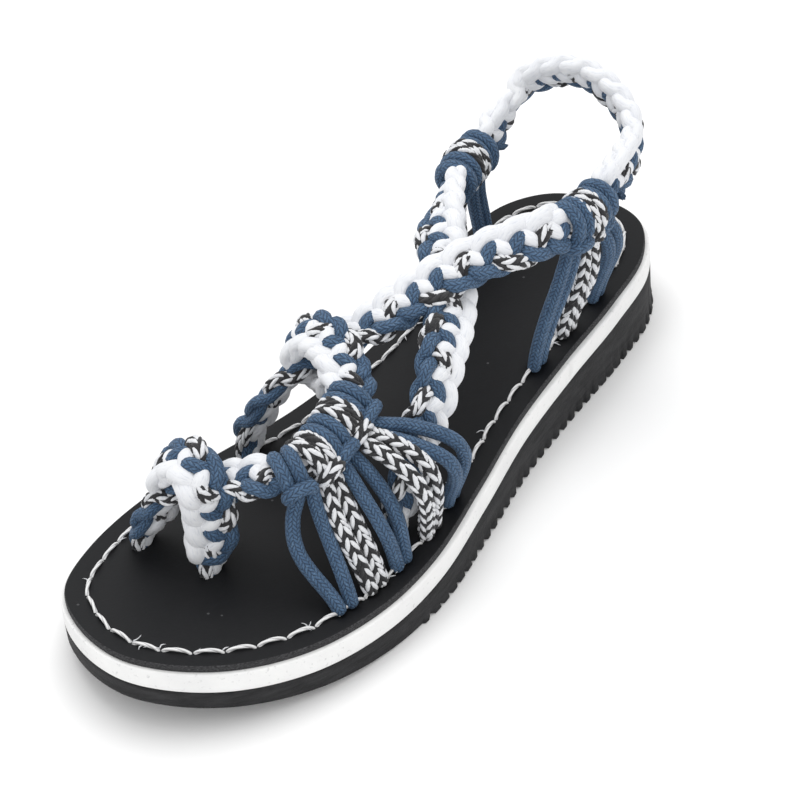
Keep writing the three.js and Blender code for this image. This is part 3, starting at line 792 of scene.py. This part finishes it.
def blue_cord_material():
    board = Board("braided blue cord")
    rows, half = board.slanted_rows(BRAID_WALES, BRAID_ROW, BRAID_SLANT)[:2]
    yarn = board.yarn_height(rows, half, 0.7)
    cloud = board.noise(board.place(), 260.0, 3.0)
    colour = board.mix(board.ramp(cloud, 0.3, 0.7), (0.042, 0.094, 0.178, 1), (0.068, 0.135, 0.240, 1))
    # Painted shade: near-black navy in the creases between the braid's yarns, keyed to the same yarn height
    # as the bump.
    colour = board.mix(board.ramp(yarn, 0.05, 0.75), (0.006, 0.016, 0.038, 1), colour)
    colour = board.mix(
        board.ramp(board.noise(board.place(), 1900.0, 2.0), 0.55, 0.75), colour, (0.13, 0.22, 0.33, 1))
    board.feed(board.shader.inputs["Base Color"], colour)
    board.shader.inputs["Roughness"].default_value = 0.72
    board.shader.inputs["Sheen Weight"].default_value = 0.16
    board.shader.inputs["Sheen Roughness"].default_value = 0.4
    board.shader.inputs["Sheen Tint"].default_value = (0.6, 0.75, 0.95, 1)
    board.bump(yarn, 0.00035, 0.8)
    board.bump(board.noise(board.place(), 1800.0, 2.0), 0.00015, 0.4)
    return board.material


def mixed_cord_material():
    board = Board("knitted black and white cord")
    rows, half, column = board.slanted_rows(KNIT_WALES, KNIT_ROW, KNIT_SLANT)
    sway = board.math("COSINE", board.math("MULTIPLY", rows, math.pi))
    rows = board.math("MULTIPLY_ADD", sway, KNIT_UNEVEN, rows)
    ends = board.math("SINE", board.math("MULTIPLY", half, math.pi))
    ends = board.math("POWER", board.math("MAXIMUM", ends, 0.0), KNIT_POINT)
    crest = board.math("SINE", board.math("MULTIPLY", board.math("FRACT", rows), math.pi))
    leaf = board.math("SUBTRACT", board.math("ADD", crest, ends), 1.0)
    yarn = board.math("POWER", board.math("MAXIMUM", leaf, 0.0), 0.5)
    row = board.math("FLOOR", rows)
    yarn_index = board.add("ShaderNodeCombineXYZ")
    board.feed(yarn_index.inputs[0], row)
    board.feed(yarn_index.inputs[1], column)
    chance = board.add("ShaderNodeTexWhiteNoise", noise_dimensions="3D")
    board.links.new(yarn_index.outputs[0], chance.inputs["Vector"])
    even = board.math("MODULO", board.math("ABSOLUTE", row), 2.0)
    even = board.math("GREATER_THAN", even, 0.5)
    swapped = board.math("LESS_THAN", chance.outputs["Value"], 0.08)
    black = board.math("ABSOLUTE", board.math("SUBTRACT", even, swapped))
    grain = board.noise(board.place(), 1500.0, 3.0)
    white = board.mix(board.ramp(grain, 0.3, 0.7), (0.66, 0.67, 0.70, 1), (0.80, 0.81, 0.83, 1))
    dark = board.mix(board.ramp(grain, 0.3, 0.7), (0.010, 0.010, 0.012, 1), (0.030, 0.030, 0.033, 1))
    colour = board.mix(black, white, dark)
    # Painted shade: near black in the creases between the knit's leaves, where the yarn height is low; the
    # black and white rows above are the yarn's own colours.
    colour = board.mix(board.ramp(yarn, 0.08, 0.32), (0.016, 0.016, 0.019, 1), colour)
    board.feed(board.shader.inputs["Base Color"], colour)
    board.shader.inputs["Roughness"].default_value = 0.8
    board.shader.inputs["Sheen Weight"].default_value = 0.2
    board.shader.inputs["Sheen Roughness"].default_value = 0.5
    board.bump(yarn, 0.0004, 0.5)
    board.bump(board.noise(board.place(), 1500.0, 3.0), 0.0002, 0.4)
    return board.material


def thread_material():
    board = Board("waxed white thread")
    along, round_share = board.cord_place()
    twist = board.math("SUBTRACT", board.math("MULTIPLY", round_share, 2.0), board.math("DIVIDE", along, 5.0))
    strand = board.math("ABSOLUTE", board.math("COSINE", board.math("MULTIPLY", twist, math.pi)))
    # Painted shade: grey in the groove between the two plies, where the bump sinks.
    colour = board.mix(board.ramp(strand, 0.0, 0.45), (0.5, 0.5, 0.52, 1), (0.82, 0.82, 0.82, 1))
    board.feed(board.shader.inputs["Base Color"], colour)
    board.shader.inputs["Roughness"].default_value = 0.5
    board.bump(strand, 0.0004, 0.7)
    return board.material


def leather_material():
    board = Board("black insole leather")
    grain = board.add("ShaderNodeTexVoronoi", feature="SMOOTH_F1")
    board.links.new(board.place(), grain.inputs["Vector"])
    grain.inputs["Scale"].default_value = 1100.0
    cloud = board.noise(board.place(), 28.0, 5.0)
    fine = board.noise(board.place(), 420.0, 4.0)
    dust = board.add("ShaderNodeTexVoronoi")
    board.links.new(board.place(), dust.inputs["Vector"])
    dust.inputs["Scale"].default_value = 85.0
    speck = board.math("LESS_THAN", dust.outputs["Distance"], 0.035)
    colour = board.mix(board.ramp(cloud, 0.3, 0.7), (0.0062, 0.0066, 0.0078, 1), (0.0085, 0.0089, 0.0102, 1))
    colour = board.mix(board.math("MULTIPLY", speck, 0.3), colour, (0.2, 0.2, 0.21, 1))
    board.feed(board.shader.inputs["Base Color"], colour)
    rough = board.math("MULTIPLY_ADD", board.ramp(cloud, 0.2, 0.8), 0.1, 0.52)
    board.feed(board.shader.inputs["Roughness"], rough)
    board.shader.inputs["Specular IOR Level"].default_value = 0.17
    board.bump(grain.outputs["Distance"], 0.0002, 0.12)
    board.bump(fine, 0.0003, 0.1)
    return board.material


def raw_edge_material():
    board = Board("cut leather edge")
    grain = board.noise(board.place((1, 1, 3)), 1400.0, 4.0)
    colour = board.mix(board.ramp(grain, 0.35, 0.75), (0.010, 0.010, 0.011, 1), (0.085, 0.085, 0.09, 1))
    board.feed(board.shader.inputs["Base Color"], colour)
    board.shader.inputs["Roughness"].default_value = 0.95
    board.bump(grain, 0.0006, 0.8)
    return board.material


def foam_material():
    board = Board("white sole foam")
    grain = board.noise(board.place(), 700.0, 4.0)
    cloud = board.noise(board.place(), 45.0, 4.0)
    colour = board.mix(board.ramp(cloud, 0.3, 0.75), (0.90, 0.90, 0.89, 1), (0.80, 0.80, 0.80, 1))
    colour = board.mix(board.ramp(grain, 0.62, 0.8), colour, (0.55, 0.55, 0.55, 1))
    board.feed(board.shader.inputs["Base Color"], colour)
    board.shader.inputs["Roughness"].default_value = 0.8
    board.bump(grain, 0.0003, 0.35)
    return board.material


def rubber_material():
    board = Board("black sole rubber")
    grain = board.noise(board.place(), 900.0, 5.0, 0.65)
    scuffs = board.noise(board.place((0.6, 0.6, 3.5)), 150.0, 5.0, 0.7)
    colour = board.mix(board.ramp(scuffs, 0.4, 0.75), (0.0125, 0.0125, 0.0135, 1), (0.035, 0.035, 0.037, 1))
    colour = board.mix(board.ramp(grain, 0.66, 0.8), colour, (0.075, 0.075, 0.078, 1))
    board.feed(board.shader.inputs["Base Color"], colour)
    board.shader.inputs["Roughness"].default_value = 0.78
    board.shader.inputs["Specular IOR Level"].default_value = 0.35
    board.bump(grain, 0.0004, 0.5)
    board.bump(scuffs, 0.0008, 0.3)
    return board.material


# Sole pieces


def sole_slab(levels, marks_y, pitch_x):
    """A slab with sides drawn by levels of (inset, share of its height), cut into a grid."""
    bm = bmesh.new()
    place = bm.verts.layers.int.new("place")
    inset, lift = levels[0]
    verts = [bm.verts.new((x, y, lift)) for x, y in outline_ring(inset)]
    for index, vert in enumerate(verts):
        vert[place] = index
    cap = bm.faces.new(verts)
    for level, (inset, lift) in enumerate(levels[1:]):
        ring = outline_ring(inset)
        inner = cap
        grown = bmesh.ops.extrude_face_region(bm, geom=[inner])["geom"]
        for item in grown:
            if isinstance(item, bmesh.types.BMVert):
                item.co = (*ring[item[place]], lift)
            elif isinstance(item, bmesh.types.BMFace):
                cap = item
        if level and inner.is_valid:
            bmesh.ops.delete(bm, geom=[inner], context="FACES_ONLY")
    for y in marks_y:
        geom = bm.verts[:] + bm.edges[:] + bm.faces[:]
        bmesh.ops.bisect_plane(bm, geom=geom, plane_co=(0, y, 0), plane_no=(0, 1, 0))
    for line in range(-int(HALF_BALL / pitch_x), int(HALF_BALL / pitch_x) + 1):
        geom = bm.verts[:] + bm.edges[:] + bm.faces[:]
        bmesh.ops.bisect_plane(bm, geom=geom, plane_co=(line * pitch_x, 0, 0), plane_no=(1, 0, 0))
    return bm


def lift_slab(bm, low, high):
    """Heights of a flat slab from its shares, by height functions of x and y."""
    for vert in bm.verts:
        x, y, share = vert.co
        bottom = low(x, y)
        vert.co.z = bottom + (high(x, y) - bottom) * share
    for vert in bm.verts:
        vert.co *= MM
    bmesh.ops.recalc_face_normals(bm, faces=bm.faces)


def tread_height(x, y):
    start = along_sole(SPRING_SHARE)
    if y < start:
        return spring_height(share_of(y))
    place = (y - start) % TREAD_PITCH
    if place <= TREAD_LAND:
        return 0.0
    return TREAD_DEPTH * (TREAD_PITCH - place) / (TREAD_PITCH - TREAD_LAND)


def make_outsole():
    start = along_sole(SPRING_SHARE)
    marks = list(np.arange(-125, start, 3.0))
    for rib in range(int((SOLE_LENGTH / 2 - start) / TREAD_PITCH) + 1):
        front = start + rib * TREAD_PITCH
        marks += [front + 0.01, front + TREAD_LAND / 2, front + TREAD_LAND, front + TREAD_LAND + 0.1]
    levels = [(0.25, 0.0), (0.0, 0.05), (0, 0.25), (0, 0.5), (0, 0.75), (0.0, 0.97), (0.2, 1.0)]
    bm = sole_slab(levels, [m for m in marks if abs(m) < SOLE_LENGTH / 2 - 0.2], 8.0)
    for vert in bm.verts:
        x, y, share = vert.co
        if share < 0.1 and y > start and (y - start) % TREAD_PITCH < TREAD_LAND:
            vert.co.x += math.copysign(TOOTH * min(1, abs(x) / 20) ** 4, x)
    lift_slab(bm, tread_height, lambda x, y: outsole_top(share_of(y)))
    finish_piece("rubber_outsole", bm, [rubber_material()], ["outsole"])


def make_midsole():
    levels = [(0.3, 0.0), (0.0, 0.05), (0, 0.3), (0, 0.6), (0.0, 0.92), (0.12, 0.975), (0.5, 1.0)]
    bm = sole_slab(levels, np.arange(-126, 126.5, 3.0), 8.0)
    lift_slab(
        bm, lambda x, y: outsole_top(share_of(y)) + 0.05, lambda x, y: midsole_top(share_of(y)))
    finish_piece("foam_midsole", bm, [foam_material()], ["midsole"])


def make_insole():
    sunk = [(straps[name].path[0][:2], 4.6, 1.0) for name in straps]
    sunk.append((instep.path[-1][:2], 4.6, 1.0))
    for side, row in (hitch[3:] for hitch in hitches):
        half = (ROPE_THICK[row[0]] + SLOT_SPARE) / 2 / SOLE_LENGTH
        sunk += [(edge_point(row[1] + sign * half, side, SLOT_INSET), 3.3, 1.1) for sign in (-1, 1)]
    seam = outline_ring(INSOLE_INSET + STITCH_INSET, 24)

    def top(x, y):
        height = footbed_top(share_of(y))
        spot = np.array((x, y))
        for place, radius, depth in sunk:
            away = np.linalg.norm(spot - place) / radius
            if away < 2:
                height -= depth * math.exp(-2.2 * away * away)
        away = np.min(np.hypot(seam[:, 0] - x, seam[:, 1] - y))
        if away < 5:
            height -= 0.35 * math.exp(-(away / 1.9) ** 2)
        return height

    levels = [(0.1, 0.0), (0.0, 0.15), (0, 0.4), (0, 0.7), (0.1, 0.9), (0.35, 0.975), (0.8, 1.0), (1.6, 1.0)]
    levels = [(INSOLE_INSET + inset, share) for inset, share in levels]
    bm = sole_slab(levels, np.arange(-124.5, 125, 1.5), 1.5)
    for face in bm.faces:
        face.material_index = 1 if face.calc_center_median().z < 0.96 else 0
    lift_slab(bm, lambda x, y: midsole_top(share_of(y)) + 0.05, top)
    finish_piece(
        "leather_insole", bm, [leather_material(), raw_edge_material()], ["insole"])


def make_stitching():
    seam = outline_ring(INSOLE_INSET + STITCH_INSET, 24)
    seam = np.vstack([seam, seam[:1]])
    along = distances(seam)
    count = int(along[-1] / STITCH_PITCH)
    pitch = along[-1] / count
    chance = random.Random(5)
    meshes = []
    for index in range(count):
        start = index * pitch
        lean = chance.uniform(-0.2, 0.2)
        points = []
        for share, lift, aside in STITCH_COURSE:
            mark = (start + share * pitch) % along[-1]
            x = np.interp(mark, along, seam[:, 0])
            y = np.interp(mark, along, seam[:, 1])
            x2 = np.interp((mark + 0.5) % along[-1], along, seam[:, 0])
            y2 = np.interp((mark + 0.5) % along[-1], along, seam[:, 1])
            way = unit(np.array((x2 - x, y2 - y)))
            offset = (aside + lean * share) * np.array((way[1], -way[0]))
            points.append(np.array((x + offset[0], y + offset[1], footbed_top(share_of(y)) + lift)))
        meshes.append(cord_mesh(smooth_curve(points, 6)[0], "thread", roughness=0))
    piece_of("insole_stitching", meshes, thread_material(), [])


def make_fray():
    """Thin loose fibres along the stitches and at the two cut cord tips."""
    chance = random.Random(11)
    seam = outline_ring(INSOLE_INSET + STITCH_INSET, 24)
    white = []
    for index in range(LINT_HAIRS):
        x, y = seam[chance.randrange(len(seam))]
        angle = chance.uniform(0, TURN)
        long = chance.uniform(1.6, 3.6)
        base = np.array((x, y, footbed_top(share_of(y)) + 0.1))
        lean = np.array((math.cos(angle), math.sin(angle), 0))
        bend = np.array((-math.sin(angle), math.cos(angle), 0)) * chance.uniform(-0.8, 0.8)
        points = [base, base + lean * long * 0.5 + bend + (0, 0, 0.5), base + lean * long + (0, 0, 0.3)]
        white.append(cord_mesh(smooth_curve(points, 5)[0], "fray", roughness=0))
    blue = []
    for strap_name, share, across, out, reach, along in CORD_TIPS:
        strap = straps[strap_name]
        centre, heading, facing, sideways = strap.frames(share * strap.length)
        root = centre + sideways * across + facing * out
        for fibre in range(TIP_FIBRES):
            spread = np.array([chance.uniform(-0.8, 0.8) for axis in range(3)])
            tip = root + facing * reach + heading * along + spread
            middle = (root + tip) / 2 + spread * 0.35
            path = smooth_curve([root + spread * 0.3, middle, tip], 6)[0]
            blue.append(cord_mesh(path, "fray", roughness=0, swell=np.full(len(path), 0.3)))
    piece_of("stitch_lint", white, finishes["white"], [])
    piece_of("frayed_cord_tips", blue, finishes["blue"], [])


# The sandal

make_outsole()
make_midsole()
make_insole()
make_stitching()

finishes = {
    "white": white_cord_material(),
    "blue": blue_cord_material(),
    "mixed": mixed_cord_material(),
}
STRAND_COLOURS = ("mixed", "blue", "blue")
for strap_name, strap in straps.items():
    laid = {"white": [], "blue": [], "mixed": []}
    for strand, colour in enumerate(STRAND_COLOURS):
        coloured, white, facing, swell = strand_cords(strap, strand)
        laid[colour].append(cord_mesh(coloured, colour, facing, PLAIT_FLATTEN))
        laid["white"].append(cord_mesh(white, "white", facing, PLAIT_FLATTEN, swell=swell))
    for colour, meshes in laid.items():
        name = f"{strap_name}_strap_{colour}_cords"
        piece_of(name, meshes, finishes[colour], ["upper"])

for name, strap, middle, side, row in hitches:
    mesh = cord_mesh(rope_path(strap, middle, side, row), row[0])
    piece_of(f"{name}_cord", [mesh], finishes[row[0]], [name])

make_fray()


# Studio

floor_mesh = bpy.data.meshes.new("floor")
bm = bmesh.new()
bmesh.ops.create_grid(bm, x_segments=1, y_segments=1, size=FLOOR_HALF)
bm.to_mesh(floor_mesh)
bm.free()
floor = bpy.data.objects.new("floor", floor_mesh)
bpy.context.scene.collection.objects.link(floor)
board = Board("pale floor")
board.shader.inputs["Base Color"].default_value = (0.97, 0.97, 0.97, 1)
board.shader.inputs["Roughness"].default_value = 0.9
floor_mesh.materials.append(board.material)

scene = bpy.context.scene
scene.view_settings.view_transform = "Standard"
world = bpy.data.worlds.new("studio")
world.use_nodes = True
world.node_tree.nodes["Background"].inputs[0].default_value = (1, 1, 1, 1)
world.node_tree.nodes["Background"].inputs[1].default_value = 0.83
scene.world = world


def softbox(name, place, aim, size, power):
    light = bpy.data.lights.new(name, "AREA")
    light.shape = "RECTANGLE"
    light.size, light.size_y = size
    light.energy = power
    lamp = bpy.data.objects.new(name, light)
    turn = (Vector(aim) - Vector(place)).to_track_quat("-Z", "Y")
    lamp.matrix_world = Matrix.Translation(place) @ turn.to_matrix().to_4x4()
    scene.collection.objects.link(lamp)


softbox("overhead softbox", (-0.25, 0.25, 1.0), (0, 0, 0), (0.9, 0.9), 5.6)
softbox("front softbox", (0.9, -0.9, 0.8), (0, 0, 0.02), (0.8, 0.6), 2.6)

camera_data = bpy.data.cameras.new("camera")
camera_data.lens = CAMERA_LENS
camera = bpy.data.objects.new("camera", camera_data)
scene.collection.objects.link(camera)
scene.camera = camera
azimuth = math.radians(CAMERA_AZIMUTH)
elevation = math.radians(CAMERA_ELEVATION)
roll = math.radians(CAMERA_ROLL)
back = Vector((
    math.sin(azimuth) * math.cos(elevation), -math.cos(azimuth) * math.cos(elevation),
    math.sin(elevation)))
level = Vector((math.cos(azimuth), math.sin(azimuth), 0))
upwards = back.cross(level)
right = level * math.cos(roll) + upwards * math.sin(roll)
top_way = upwards * math.cos(roll) - level * math.sin(roll)
turn = Matrix((right, top_way, back)).transposed()
camera.matrix_world = Matrix.Translation(CAMERA_PLACE) @ turn.to_4x4()
